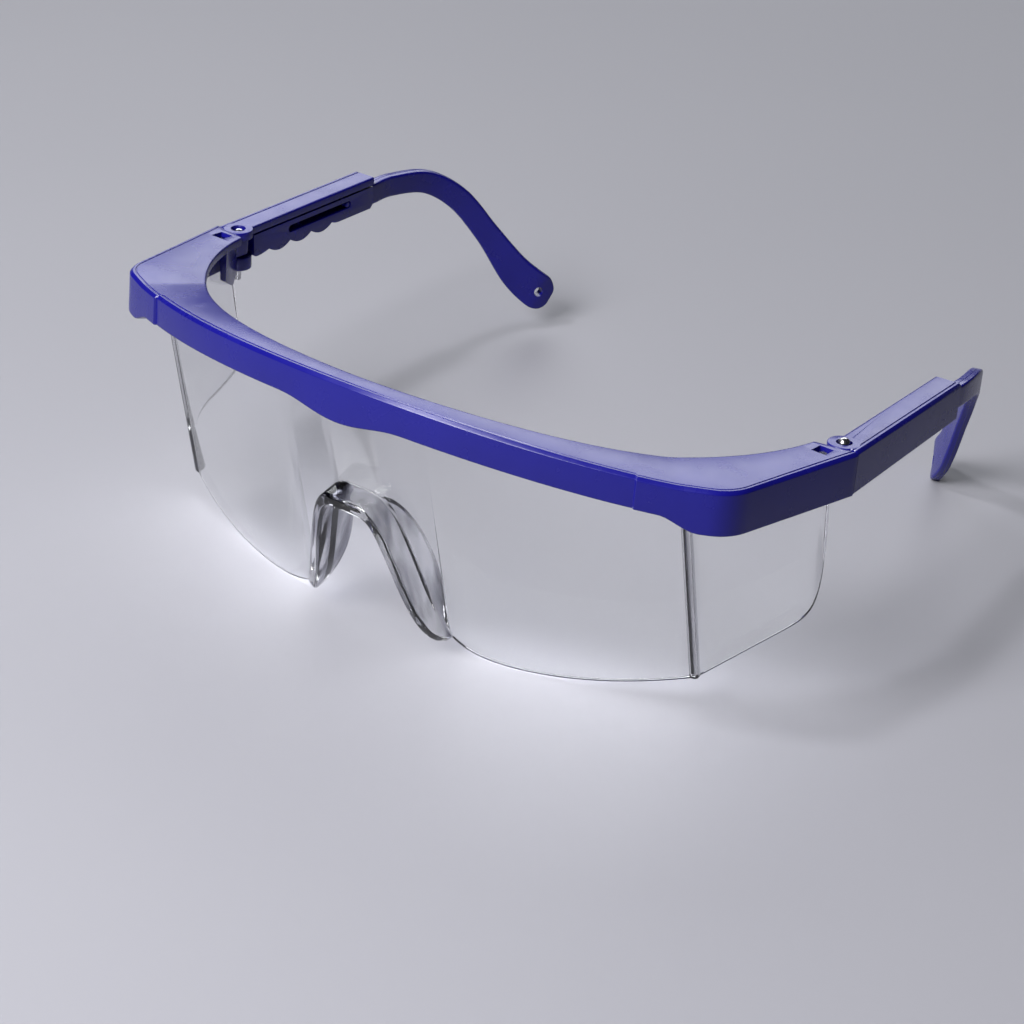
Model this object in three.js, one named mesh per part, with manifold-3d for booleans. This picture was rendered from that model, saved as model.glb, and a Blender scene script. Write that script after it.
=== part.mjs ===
// Safety glasses: a one-piece clear wrap lens under a moulded brow frame, with two folding
// temples. Each temple is a channel-shaped housing with an ear arm that slides in it.
//
// Millimetres, +Z up. The wearer looks along -Y, so the left side is +X, and the glasses
// stand on z = 0 on the lens and one arm tip. Shapes are drawn in the frame's own axes,
// where the flat brow ledge is level, and the whole frame then leans back by STANCE_LEAN.
// Paired parts are drawn for the left side and mirrored for the right.
import * as THREE from 'three';
import { mergeVertices } from 'three/addons/utils/BufferGeometryUtils.js';
import Module from 'manifold-3d';

const DEG = Math.PI / 180;
const GAP = 0.3; // clearance between neighbouring pieces

// Stance
const STANCE_LEAN = 5 * DEG;
const REST_FOLD = { left: 4.3 * DEG, right: 0 }; // how far each temple stands folded in at rest
const REST_LIFT = { left: 0, right: 3.6 * DEG }; // how far its play at the pin lets it stand raised
const PLAY_CENTRE_Z = 46.3;
const CENTRE_Y = 63.37; // middle of the glasses from front to back
const REST_FLAT_Z = 0.32; // the lens edge and the lower arm tip are cut flat at this height

// Brow frame
const LEDGE_TOP = 50.3;
const LEDGE_THICK = 1.8;
const BROW_WALL = 2;
const BROW_CHAMFER = 0.6;
const BROW_FRONT_Y = -10.1;
const BROW_CORNER = { start: [66.2, 8.25], apex: [69.7, 10.1], end: [70.38, 14.04] };
const BROW_REAR = [75, 41];
const BROW_INNER = { halfWidth: 67.4, depth: 51, frontY: -5.2, rearY: 39.4 };
const BROW_ARCH = { rise: 3.8, halfSpan: 62, power: 1.2 };
const WALL_DROP = { front: 6, centreExtra: 1.8, centreHalf: 14, side: 8.3 };
const CORNER_STEP = { x: 55, proud: 0.4, dropFrom: 59, dropTo: 65.5 };
const SNAP_HOLE = { x: 70.3, y: 37.35, size: 2.9 };

// Lens
const LENS_THICK = 1.8;
const LENS_TOP = LEDGE_TOP - LEDGE_THICK - GAP;
const LENS_REF_Z = 46.5; // height at which the lens plan is drawn
const LENS_FRONT_Y = -7.1;
const LENS_RADIUS = 110;
const LENS_CREASE_X = 60.15;
const LENS_BEND = 0.9; // how far the crease's rounding reaches each way
const LENS_LEAN = { centre: 0.31, crease: 0.277 };
const SHIELD_SPLAY = 22.3 * DEG;
const SHIELD_OUTWARD = new THREE.Vector3(Math.cos(SHIELD_SPLAY), -Math.sin(SHIELD_SPLAY), 0);
const SHIELD_LENGTH = 30.5;
const EDGE = { lowest: 0.6, lowestX: 22, rise: 0.00446, shieldSlope: 0.33, cornerRise: 32, cornerPower: 17 };
const NOSE = { height: 30.4, halfWidth: 11, power: 5 };
const SADDLE = { halfSpan: 16.5, front: 5.3, backApex: 0.8, backSide: 4.6, thick: 2.2, sunk: 0.4 };

// Hinge, drawn about the pin's axis
const PIN = { x: 71.1, y: 43.3 };
const PIN_RADIUS = 0.85;
const PIN_HEAD_RADIUS = 1.15;
const PIN_LENGTH = 9.6;
const PIN_HEAD_RISE = { left: -0.3, right: -1.3 }; // head centre above the ledge
const PIN_HOLE = 1.15;
const HEAD_HOLE = 1.5;
const BLOCK_PLAN = [[74, 33.5], [74, 41], [69.3, 41], [65.4, 33.5]]; // x and y of the hinge block
const BLOCK_PROFILE = [[33, 49.4], [33, 43], [38.5, 40], [39.6, 40], [41, 42], [41, 49.4]]; // its y and z
const BLOCK_HEIGHTS = [37, 50];
const SHIELD_SPACE = { reach: 39.5, bottom: 36 };
const TAB = { radius: 2, front: -3.05, bottom: 45.2, top: LEDGE_TOP - LEDGE_THICK - GAP };
const TOP_EYE_RADIUS = 3;
const LOW_EYE = { radius: 2.7, bottom: 42, top: 44.8 };
const PARTING_Y = -2; // front end of the temple housing, behind the pin's axis line

// Temple housing
const HOUSING_END = 40.8;
const HOUSING_OUTER = 3.9;
const HOUSING_INNER = -1.6;
const HOUSING_WALL = 1.6;
const HOUSING_DROP = { front: 8.3, rear: 7.2 };
const PEG = { y: 32.3, z: 46.4, radius: 0.6 };

// Temple arm
const SLIDER = { inner: -1.5, outer: 1.9, front: 3.05, rear: 40.4, top: 48.2 };
const SCALLOP = { count: 4, first: 7.7, pitch: 6.5, cusp: 44, depth: 1.1 };
const BLOCK_BOTTOM = 43.5;
const SLOT = { front: 13.6, rear: 33.2, height: 1.6 };
const ARM_LINE = [
  [0.6, 38.6, 45.8], [0.85, 42.5, 45.7], [0.9, 49, 45.6], [-0.9, 59, 44],
  [-4.2, 66.6, 38.7], [-7.9, 72.5, 30], [-11.8, 77.8, 20.8], [-14.8, 82, 15.7], [-16.3, 85.6, 13.1],
];
const ARM_THICK = { root: 2.6, tip: 2.1 };
const ARM_WIDTH = { root: 4.6, neck: 5.2, tip: 8.2 };
const TIP_HOLE = { fromEnd: 4.1, radius: 1.1 };

const BLUE = { color: 0x1f1f9c, roughness: 0.28, metalness: 0 };
const CLEAR = { color: 0xdfe6ea, roughness: 0.04, metalness: 0, transparent: true, opacity: 0.3 };
const STEEL = { color: 0xc4c6c8, roughness: 0.22, metalness: 1 };

const wasm = await Module();
wasm.setup();

// ---------- solids ----------

function signedVolume(position, index) {
  const [a, b, c] = [new THREE.Vector3(), new THREE.Vector3(), new THREE.Vector3()];
  let total = 0;
  for (let i = 0; i < index.count; i += 3) {
    a.fromBufferAttribute(position, index.getX(i));
    b.fromBufferAttribute(position, index.getX(i + 1));
    c.fromBufferAttribute(position, index.getX(i + 2));
    total += a.dot(b.cross(c)) / 6;
  }
  return total;
}

function toSolid(source) {
  const bare = source.clone();
  bare.deleteAttribute('normal');
  bare.deleteAttribute('uv');
  const merged = mergeVertices(bare, 1e-4);
  const triVerts = new Uint32Array(merged.index.array);
  if (signedVolume(merged.attributes.position, merged.index) < 0) triVerts.reverse();
  return new wasm.Manifold(new wasm.Mesh({
    numProp: 3,
    vertProperties: new Float32Array(merged.attributes.position.array),
    triVerts,
  }));
}

function toGeometry(solid) {
  const mesh = solid.getMesh();
  const geometry = new THREE.BufferGeometry();
  geometry.setAttribute('position', new THREE.BufferAttribute(mesh.vertProperties, 3));
  geometry.setIndex(new THREE.BufferAttribute(mesh.triVerts, 1));
  geometry.computeVertexNormals();
  return geometry;
}

// A solid through rings of points that all have the same count; the ends are capped.
function loft(rings) {
  const count = rings[0].length;
  const index = [];
  for (let ring = 0; ring + 1 < rings.length; ring += 1) {
    for (let side = 0; side < count; side += 1) {
      const a = ring * count + side;
      const b = ring * count + (side + 1) % count;
      index.push(a, b, b + count, a, b + count, a + count);
    }
  }
  const capFaces = (ring) => THREE.ShapeUtils.triangulateShape(flatten(rings[ring]), []);
  const last = (rings.length - 1) * count;
  for (const [a, b, c] of capFaces(0)) index.push(c, b, a);
  for (const [a, b, c] of capFaces(rings.length - 1)) index.push(last + a, last + b, last + c);
  const geometry = new THREE.BufferGeometry();
  const positions = rings.flat().flatMap((point) => point.toArray());
  geometry.setAttribute('position', new THREE.Float32BufferAttribute(positions, 3));
  geometry.setIndex(index);
  return toSolid(geometry);
}

// A planar ring in coordinates of its own plane, turned so that its winding stays the same.
function flatten(ring) {
  const normal = new THREE.Vector3();
  ring.forEach((point, i) => {
    normal.add(point.clone().cross(ring[(i + 1) % ring.length]));
  });
  normal.normalize();
  const across = new THREE.Vector3(0, 0, 1).cross(normal);
  if (across.lengthSq() < 1e-6) across.set(1, 0, 0);
  across.normalize();
  const up = normal.clone().cross(across);
  return ring.map((point) => new THREE.Vector2(point.dot(across), point.dot(up)));
}

function box(x0, x1, y0, y1, z0, z1) {
  const geometry = new THREE.BoxGeometry(x1 - x0, y1 - y0, z1 - z0);
  geometry.translate((x0 + x1) / 2, (y0 + y1) / 2, (z0 + z1) / 2);
  return toSolid(geometry);
}

function post(x, y, radius, z0, z1, segments = 28) {
  const geometry = new THREE.CylinderGeometry(radius, radius, z1 - z0, segments);
  geometry.rotateX(Math.PI / 2);
  geometry.translate(x, y, (z0 + z1) / 2);
  return toSolid(geometry);
}

// A shape drawn in (y, z) and thickened along x.
function slab(shape, x0, x1) {
  const options = { depth: x1 - x0, bevelEnabled: false, curveSegments: 6 };
  const geometry = new THREE.ExtrudeGeometry(shape, options);
  geometry.applyMatrix4(new THREE.Matrix4().makeBasis(
    new THREE.Vector3(0, 1, 0),
    new THREE.Vector3(0, 0, 1),
    new THREE.Vector3(1, 0, 0),
  ));
  geometry.translate(x0, 0, 0);
  return toSolid(geometry);
}

function mirrorX(solid) {
  return solid.mirror([1, 0, 0]);
}

function bothSides(solid) {
  return solid.add(mirrorX(solid));
}

// ---------- brow frame ----------

const browOuter = new THREE.Path()
  .moveTo(0, BROW_FRONT_Y)
  .quadraticCurveTo(33, BROW_FRONT_Y, ...BROW_CORNER.start)
  .quadraticCurveTo(...BROW_CORNER.apex, ...BROW_CORNER.end)
  .lineTo(...BROW_REAR);

function browRise(x) {
  const phase = Math.min(1, Math.abs(x) / BROW_ARCH.halfSpan);
  return BROW_ARCH.rise * Math.cos(phase * Math.PI / 2) ** BROW_ARCH.power;
}

function browDrop(x) {
  const bulge = Math.cos(Math.min(1, Math.abs(x) / WALL_DROP.centreHalf) * Math.PI / 2) ** 2;
  const corner = THREE.MathUtils.smoothstep(Math.abs(x), CORNER_STEP.dropFrom, CORNER_STEP.dropTo);
  const side = (WALL_DROP.side - WALL_DROP.front) * corner;
  return WALL_DROP.front + WALL_DROP.centreExtra * bulge + side;
}

// An angle section: a wall hanging from the outer edge of a flat ledge.
function angleRing(outer, inner, top, drop, wall) {
  const across = inner.clone().sub(outer).normalize();
  const at = (point, inset, z) => {
    return new THREE.Vector3(point.x + across.x * inset, point.y + across.y * inset, z);
  };
  return [
    at(outer, 0, top - drop),
    at(outer, 0, top - BROW_CHAMFER),
    at(outer, BROW_CHAMFER, top),
    at(inner, 0, top),
    at(inner, 0, top - LEDGE_THICK),
    at(outer, wall, top - LEDGE_THICK),
    at(outer, wall, top - drop),
  ];
}

function browRing(share) {
  const side = Math.sign(share) || 1;
  const along = Math.abs(share);
  const outer = browOuter.getPointAt(along);
  const proud = outer.x > CORNER_STEP.x ? CORNER_STEP.proud : 0;
  const sweep = Math.acos(1 - (BROW_INNER.rearY - BROW_INNER.frontY) / BROW_INNER.depth) * along ** 0.92;
  const inner = new THREE.Vector2(
    BROW_INNER.halfWidth * Math.sin(sweep),
    BROW_INNER.frontY + BROW_INNER.depth * (1 - Math.cos(sweep)),
  );
  const outward = outer.clone().sub(inner).normalize();
  outer.addScaledVector(outward, proud);
  const drop = browDrop(outer.x);
  const ring = angleRing(outer, inner, LEDGE_TOP, drop, BROW_WALL);
  for (const point of ring) {
    point.z += browRise(outer.x);
    point.x *= side;
  }
  return ring;
}

function browShell() {
  const steps = 34;
  const shares = [];
  for (let i = -steps; i <= steps; i += 1) shares.push(i / steps);
  return loft(shares.map(browRing));
}

function hingeBlock() {
  const plan = BLOCK_HEIGHTS.map((z) => BLOCK_PLAN.map(([x, y]) => new THREE.Vector3(x, y, z)));
  const profile = new THREE.Shape(BLOCK_PROFILE.map(([y, z]) => new THREE.Vector2(y, z)));
  const block = slab(profile, BLOCK_PLAN[3][0] - 1, BLOCK_PLAN[0][0] + 1)
    .intersect(loft(plan))
    .subtract(shieldSpace(SHIELD_LENGTH + GAP, TAB.bottom - GAP, LEDGE_TOP - LEDGE_THICK))
    .subtract(shieldSpace(SHIELD_SPACE.reach, SHIELD_SPACE.bottom, TAB.bottom - GAP));
  const neck = box(PIN.x - TAB.radius, PIN.x + TAB.radius, PIN.y + TAB.front, PIN.y, TAB.bottom, TAB.top);
  const eye = post(PIN.x, PIN.y, TAB.radius, TAB.bottom, TAB.top);
  return block.add(neck).add(eye);
}

// The room left outside the hinge block for the side shield, between two heights.
function shieldSpace(rear, bottom, top) {
  const front = 8;
  const outward = 8;
  const inward = LENS_THICK + GAP;
  const corners = [[front, outward], [rear, outward], [rear, -inward], [front, -inward]];
  return loft([top, bottom].map((z) => corners.map(([distance, offset]) => (
    shieldPoint(distance, z).addScaledVector(SHIELD_OUTWARD, offset)
  ))));
}

function browFrame() {
  let frame = browShell();
  frame = frame.add(bothSides(hingeBlock()));
  const half = SNAP_HOLE.size / 2;
  const cuts = [
    box(SNAP_HOLE.x - half, SNAP_HOLE.x + half, SNAP_HOLE.y - half, SNAP_HOLE.y + half, 48, 52),
    post(PIN.x, PIN.y, PIN_HOLE, 40, 52),
    post(PIN.x, PIN.y, TOP_EYE_RADIUS + GAP, TAB.top, 53),
    post(PIN.x, PIN.y, LOW_EYE.radius + GAP, 38, TAB.bottom),
  ];
  for (const cut of cuts) frame = frame.subtract(bothSides(cut));
  return frame;
}

// ---------- lens ----------

function lensLean(x) {
  const share = Math.min(1, Math.abs(x) / LENS_CREASE_X);
  return THREE.MathUtils.lerp(LENS_LEAN.centre, LENS_LEAN.crease, share);
}

function lensFrontY(x) {
  return LENS_FRONT_Y + LENS_RADIUS - Math.sqrt(LENS_RADIUS ** 2 - x ** 2);
}

function lensPoint(x, z) {
  return new THREE.Vector3(x, lensFrontY(x) + lensLean(x) * (LENS_REF_Z - z), z);
}

function shieldPoint(distance, z) {
  const crease = lensPoint(LENS_CREASE_X, z);
  crease.x += Math.sin(SHIELD_SPLAY) * distance;
  crease.y += Math.cos(SHIELD_SPLAY) * distance;
  return crease;
}

function frontEdgeZ(x) {
  const reach = Math.max(0, Math.abs(x) - EDGE.lowestX);
  const nose = NOSE.height / (1 + (Math.abs(x) / NOSE.halfWidth) ** NOSE.power);
  return EDGE.lowest + EDGE.rise * reach ** 2 + nose;
}

function shieldEdgeZ(distance) {
  const start = frontEdgeZ(LENS_CREASE_X);
  const corner = EDGE.cornerRise * (distance / SHIELD_LENGTH) ** EDGE.cornerPower;
  return Math.min(LENS_TOP - 1, start + EDGE.shieldSlope * distance + corner);
}

// One upright strip of the lens: outer and inner points at its top and lower edges.
function lensRing(pointAt, lowerZ, normal) {
  const level = new THREE.Vector3(normal.x, normal.y, 0).normalize();
  const upper = pointAt(LENS_TOP);
  const lower = pointAt(lowerZ);
  const behindLower = lower.clone().addScaledVector(normal, -LENS_THICK);
  const behindUpper = upper.clone().addScaledVector(level, -LENS_THICK);
  return [upper, lower, behindLower, behindUpper];
}

function frontRing(x) {
  const slope = x / Math.sqrt(LENS_RADIUS ** 2 - x ** 2);
  const normal = new THREE.Vector3(slope, -1, -lensLean(x)).normalize();
  return lensRing((z) => lensPoint(x, z), frontEdgeZ(x), normal);
}

function shieldRing(distance) {
  const normal = SHIELD_OUTWARD.clone().setZ(-LENS_LEAN.crease * Math.sin(SHIELD_SPLAY)).normalize();
  return lensRing((z) => shieldPoint(distance, z), shieldEdgeZ(distance), normal);
}

function lensSheet() {
  const noseSteps = 18;
  const frontSteps = 14;
  const shieldSteps = 16;
  const half = [];
  for (let i = 0; i <= noseSteps; i += 1) half.push(frontRing(i));
  for (let i = 1; i <= frontSteps; i += 1) {
    half.push(frontRing(noseSteps + (LENS_CREASE_X - LENS_BEND - noseSteps) * i / frontSteps));
  }
  for (let i = 0; i <= shieldSteps; i += 1) {
    const share = 1 - (1 - i / shieldSteps) ** 1.7;
    half.push(shieldRing(LENS_BEND + (SHIELD_LENGTH - LENS_BEND) * share));
  }
  const flip = (ring) => ring.map((point) => new THREE.Vector3(-point.x, point.y, point.z));
  const rings = half.slice(1).reverse().map(flip).concat(half);
  return loft(rings);
}

// The nose saddle: a band across the lens edge that flares to the front and the back.
function noseSaddle() {
  const halfSteps = 26;
  const arch = [];
  for (let i = -halfSteps; i <= halfSteps; i += 1) {
    const x = SADDLE.halfSpan * i / halfSteps;
    arch.push(new THREE.Vector2(x, frontEdgeZ(x)));
  }
  const line = new THREE.SplineCurve(arch).getSpacedPoints(2 * halfSteps);
  return loft(line.map((point, i) => {
    const before = line[Math.max(0, i - 1)];
    const after = line[Math.min(line.length - 1, i + 1)];
    const tangent = after.clone().sub(before).normalize();
    const down = new THREE.Vector3(tangent.y, 0, -tangent.x);
    const share = Math.min(1, Math.abs(point.x) / SADDLE.halfSpan);
    const fade = Math.sqrt(1 - share ** 6);
    const forward = Math.max(LENS_THICK / 2, SADDLE.front * fade);
    const flare = SADDLE.backSide * Math.sin(Math.PI * share ** 1.6) ** 2;
    const backward = Math.max(LENS_THICK / 2, SADDLE.backApex * fade + flare);
    const normal = new THREE.Vector3(0, -1, -lensLean(point.x)).normalize();
    const centre = lensPoint(point.x, point.y).addScaledVector(normal, -LENS_THICK / 2);
    const at = (along, below) => centre.clone()
      .addScaledVector(normal, along)
      .addScaledVector(down, below);
    const inner = SADDLE.thick - SADDLE.sunk;
    return [at(forward, -SADDLE.sunk), at(forward, inner), at(-backward, inner), at(-backward, -SADDLE.sunk)];
  }));
}

function snapPeg() {
  const length = SNAP_HOLE.size * 0.7;
  const middleY = SNAP_HOLE.y + LENS_THICK / 2 * SHIELD_OUTWARD.y;
  const from = (middleY - shieldPoint(0, LENS_TOP).y) / Math.cos(SHIELD_SPLAY) - length / 2;
  const ring = (distance) => {
    const outer = shieldPoint(distance, LENS_TOP).addScaledVector(SHIELD_OUTWARD, -0.1);
    const inner = outer.clone().addScaledVector(SHIELD_OUTWARD, 0.2 - LENS_THICK);
    return [[outer, -1], [outer, 1.4], [inner, 1.4], [inner, -1]].map(([point, rise]) => (
      new THREE.Vector3(point.x, point.y, LENS_TOP + rise)
    ));
  };
  return loft([ring(from), ring(from + length)]);
}

function lens() {
  return lensSheet().add(noseSaddle()).add(bothSides(snapPeg()));
}

// ---------- hinge pin ----------

function hingePin(side) {
  const headZ = LEDGE_TOP + PIN_HEAD_RISE[side];
  const neck = Math.asin(PIN_RADIUS / PIN_HEAD_RADIUS);
  const foot = headZ - PIN_LENGTH;
  const profile = [new THREE.Vector2(0, foot), new THREE.Vector2(PIN_RADIUS - 0.2, foot)];
  profile.push(new THREE.Vector2(PIN_RADIUS, headZ - PIN_LENGTH + 0.2));
  const steps = 7;
  for (let i = 0; i < steps; i += 1) {
    const angle = THREE.MathUtils.lerp(neck, Math.PI, i / steps);
    const radius = PIN_HEAD_RADIUS * Math.sin(angle);
    profile.push(new THREE.Vector2(radius, headZ - PIN_HEAD_RADIUS * Math.cos(angle)));
  }
  profile.push(new THREE.Vector2(0, headZ + PIN_HEAD_RADIUS));
  const geometry = new THREE.LatheGeometry(profile, 20);
  geometry.rotateX(Math.PI / 2);
  return toSolid(geometry);
}

// ---------- temple housing, about the pin ----------

function housingShell() {
  const rows = [[PARTING_Y, 2], [0, HOUSING_INNER], [HOUSING_END, HOUSING_INNER]];
  return loft(rows.map(([y, innerX]) => {
    const share = (y - PARTING_Y) / (HOUSING_END - PARTING_Y);
    const drop = THREE.MathUtils.lerp(HOUSING_DROP.front, HOUSING_DROP.rear, share);
    const outer = new THREE.Vector2(HOUSING_OUTER, y);
    return angleRing(outer, new THREE.Vector2(innerX, y), LEDGE_TOP, drop, HOUSING_WALL);
  }));
}

function templeHousing() {
  const wallInner = HOUSING_OUTER - HOUSING_WALL;
  const peg = new THREE.CylinderGeometry(PEG.radius, PEG.radius, wallInner + 0.3 - SLIDER.inner, 14);
  peg.rotateZ(Math.PI / 2);
  peg.translate((wallInner + 0.3 + SLIDER.inner) / 2, PEG.y, PEG.z);
  return housingShell()
    .add(post(0, 0, TOP_EYE_RADIUS, LEDGE_TOP - LEDGE_THICK, LEDGE_TOP))
    .add(post(0, 0, LOW_EYE.radius, LOW_EYE.bottom, LOW_EYE.top))
    .add(box(0, wallInner + 0.2, -1, LOW_EYE.radius, LOW_EYE.bottom, LOW_EYE.top))
    .add(toSolid(peg))
    .subtract(post(0, 0, HEAD_HOLE, LEDGE_TOP - LEDGE_THICK - 1, LEDGE_TOP + 1))
    .subtract(post(0, 0, PIN_HOLE, LOW_EYE.bottom - 1, LOW_EYE.top + 1));
}

// ---------- temple arm, about the pin ----------

function sliderShape() {
  const shape = new THREE.Shape();
  shape.moveTo(SLIDER.front, SLIDER.top);
  shape.lineTo(SLIDER.front, SCALLOP.cusp);
  shape.quadraticCurveTo(SLIDER.front + 0.3, SCALLOP.cusp - SCALLOP.depth, SCALLOP.first, SCALLOP.cusp);
  for (let i = 1; i < SCALLOP.count; i += 1) {
    const end = SCALLOP.first + SCALLOP.pitch * i;
    shape.quadraticCurveTo(end - SCALLOP.pitch / 2, SCALLOP.cusp - 2 * SCALLOP.depth, end, SCALLOP.cusp);
  }
  const blockFront = SCALLOP.first + SCALLOP.pitch * (SCALLOP.count - 1);
  shape.quadraticCurveTo(blockFront + 1, BLOCK_BOTTOM, blockFront + 2.5, BLOCK_BOTTOM);
  shape.lineTo(SLIDER.rear - 0.8, BLOCK_BOTTOM);
  shape.lineTo(SLIDER.rear, BLOCK_BOTTOM + 0.8);
  shape.lineTo(SLIDER.rear, SLIDER.top);
  const slot = new THREE.Path();
  const half = SLOT.height / 2;
  slot.moveTo(SLOT.front + half, PEG.z - half);
  slot.lineTo(SLOT.rear - half, PEG.z - half);
  slot.absarc(SLOT.rear - half, PEG.z, half, -Math.PI / 2, Math.PI / 2);
  slot.lineTo(SLOT.front + half, PEG.z + half);
  slot.absarc(SLOT.front + half, PEG.z, half, Math.PI / 2, 1.5 * Math.PI);
  shape.holes.push(slot);
  return shape;
}

function armFrames() {
  const line = new THREE.CatmullRomCurve3(ARM_LINE.map((point) => new THREE.Vector3(...point)));
  const length = line.getLength();
  const endRadius = ARM_WIDTH.tip / 2;
  const bodySteps = 30;
  const endSteps = 7;
  const stations = [];
  for (let i = 0; i <= bodySteps; i += 1) stations.push((1 - endRadius / length) * i / bodySteps);
  for (let i = 1; i <= endSteps; i += 1) {
    stations.push(1 - (1 - Math.sin(i / endSteps * Math.PI / 2 * 0.97)) * endRadius / length);
  }
  return stations.map((share) => {
    const tangent = line.getTangentAt(share);
    const thick = new THREE.Vector3(tangent.y, -tangent.x, 0).normalize();
    const wide = thick.clone().cross(tangent).normalize();
    const toEnd = (1 - share) * length;
    const round = toEnd < endRadius ? Math.sqrt(1 - ((endRadius - toEnd) / endRadius) ** 2) : 1;
    const narrowing = THREE.MathUtils.smoothstep(share, 0.15, 0.5);
    const widening = THREE.MathUtils.smoothstep(share, 0.6, 0.95);
    const width = (ARM_WIDTH.root + (ARM_WIDTH.neck - ARM_WIDTH.root) * narrowing
      + (ARM_WIDTH.tip - ARM_WIDTH.neck) * widening) * round;
    const depth = THREE.MathUtils.lerp(ARM_THICK.root, ARM_THICK.tip, share);
    return { centre: line.getPointAt(share), thick, wide, width, depth };
  });
}

function armStrip() {
  const edge = 0.5;
  return loft(armFrames().map(({ centre, thick, wide, width, depth }) => {
    const [w, t] = [width / 2, depth / 2];
    const cut = Math.min(edge, w / 2);
    const corners = [
      [w - cut, t], [w, t - edge], [w, edge - t], [w - cut, -t],
      [cut - w, -t], [-w, edge - t], [-w, t - edge], [cut - w, t],
    ];
    return corners.map(([across, out]) => centre.clone()
      .addScaledVector(wide, across)
      .addScaledVector(thick, out));
  }));
}

function tipHole() {
  const line = new THREE.CatmullRomCurve3(ARM_LINE.map((point) => new THREE.Vector3(...point)));
  const share = 1 - TIP_HOLE.fromEnd / line.getLength();
  const tangent = line.getTangentAt(share);
  const thick = new THREE.Vector3(tangent.y, -tangent.x, 0).normalize();
  const geometry = new THREE.CylinderGeometry(TIP_HOLE.radius, TIP_HOLE.radius, 8, 20);
  geometry.applyQuaternion(new THREE.Quaternion().setFromUnitVectors(new THREE.Vector3(0, 1, 0), thick));
  geometry.translate(...line.getPointAt(share).toArray());
  return toSolid(geometry);
}

function templeArm() {
  return slab(sliderShape(), SLIDER.inner, SLIDER.outer).add(armStrip()).subtract(tipHole());
}

// ---------- assembly ----------

const floorCut = box(-100, 100, -50, 200, -20, REST_FLAT_Z);

function mesh(name, solid, placing, finish) {
  const standing = solid.transform(placing.elements).subtract(floorCut);
  const piece = new THREE.Mesh(toGeometry(standing), new THREE.MeshStandardMaterial(finish));
  piece.name = name;
  return piece;
}

// The move from a temple's own axes, about its pin, to the frame's.
function templePlacing(side) {
  const sign = side === 'left' ? 1 : -1;
  const turn = new THREE.Euler(REST_LIFT[side], 0, sign * REST_FOLD[side]);
  return new THREE.Matrix4()
    .makeTranslation(sign * PIN.x, PIN.y, PLAY_CENTRE_Z)
    .multiply(new THREE.Matrix4().makeRotationFromEuler(turn))
    .multiply(new THREE.Matrix4().makeTranslation(0, 0, -PLAY_CENTRE_Z));
}

function glasses() {
  const stance = new THREE.Matrix4().makeRotationX(-STANCE_LEAN);
  const whole = new THREE.Group();
  whole.add(mesh('brow_frame', browFrame(), stance, BLUE));
  whole.add(mesh('lens', lens(), stance, CLEAR));
  for (const side of ['left', 'right']) {
    const handed = (solid) => (side === 'left' ? solid : mirrorX(solid));
    const atPin = new THREE.Matrix4().makeTranslation(side === 'left' ? PIN.x : -PIN.x, PIN.y, 0);
    const temple = stance.clone().multiply(templePlacing(side));
    whole.add(mesh(`hinge_pin_${side}`, hingePin(side), stance.clone().multiply(atPin), STEEL));
    whole.add(mesh(`temple_housing_${side}`, handed(templeHousing()), temple, BLUE));
    whole.add(mesh(`temple_arm_${side}`, handed(templeArm()), temple, BLUE));
  }
  whole.position.set(0, -CENTRE_Y, -REST_FLAT_Z);
  return whole;
}

export default glasses();
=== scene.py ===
from math import acos, asin, cos, pi, radians, sin, sqrt

import bmesh
import bpy
from mathutils import Matrix, Vector


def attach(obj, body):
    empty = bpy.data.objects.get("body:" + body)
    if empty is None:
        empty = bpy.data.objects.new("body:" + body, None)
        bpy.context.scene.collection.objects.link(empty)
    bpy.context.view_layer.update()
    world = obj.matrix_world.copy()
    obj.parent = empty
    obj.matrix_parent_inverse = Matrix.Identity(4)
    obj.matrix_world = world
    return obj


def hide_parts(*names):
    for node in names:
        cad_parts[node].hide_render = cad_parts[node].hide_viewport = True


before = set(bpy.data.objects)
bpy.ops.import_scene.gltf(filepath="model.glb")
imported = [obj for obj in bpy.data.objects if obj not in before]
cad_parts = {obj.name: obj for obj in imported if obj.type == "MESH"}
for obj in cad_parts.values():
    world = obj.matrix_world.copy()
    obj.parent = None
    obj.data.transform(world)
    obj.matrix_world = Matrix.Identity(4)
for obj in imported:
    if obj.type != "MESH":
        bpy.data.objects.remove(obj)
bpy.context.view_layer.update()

GAP = 0.3  # between pieces that move or snap together
SIGN = {"left": 1, "right": -1}

# Stance
LEAN = radians(5)
REST_FOLD = {"left": radians(4.3), "right": 0.0}
REST_LIFT = {"left": 0.0, "right": radians(3.6)}
PLAY_CENTRE_Z = 46.3
CENTRE_Y = 63.37
FLOOR_Z = 0.32
STANCE = (Matrix.Scale(0.001, 4) @ Matrix.Translation((0, -CENTRE_Y, -FLOOR_Z))
          @ Matrix.Rotation(-LEAN, 4, "X"))

# Brow frame
LEDGE_TOP = 50.3
LEDGE_THICK = 1.8
BROW_WALL = 2.0
BROW_CHAMFER = 0.6
BROW_FRONT_Y = -10.1
BROW_CORNER = ((66.2, 8.25), (69.7, 10.1), (70.38, 14.04))
BROW_REAR = (75.0, 41.0)
BROW_INNER = {"half_width": 67.4, "depth": 51.0, "front_y": -5.2, "rear_y": 39.4,
              "power": 0.92}
BROW_ARCH = {"rise": 3.8, "half_span": 62.0, "power": 1.2}
WALL_DROP = {"front": 6.0, "centre_extra": 1.8, "centre_half": 14.0, "side": 8.3}
SLIVER = 0.01  # keeps the faces of a cut off the faces they would share
CORNER_STEP = {"x": 55.0, "proud": 0.4, "sharp": 0.25, "drop_from": 59.0, "drop_to": 65.5}
SNAP_HOLE = {"x": 70.3, "y": 37.35, "size": 2.9, "bottom": 48.0, "top": 52.0}
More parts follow.
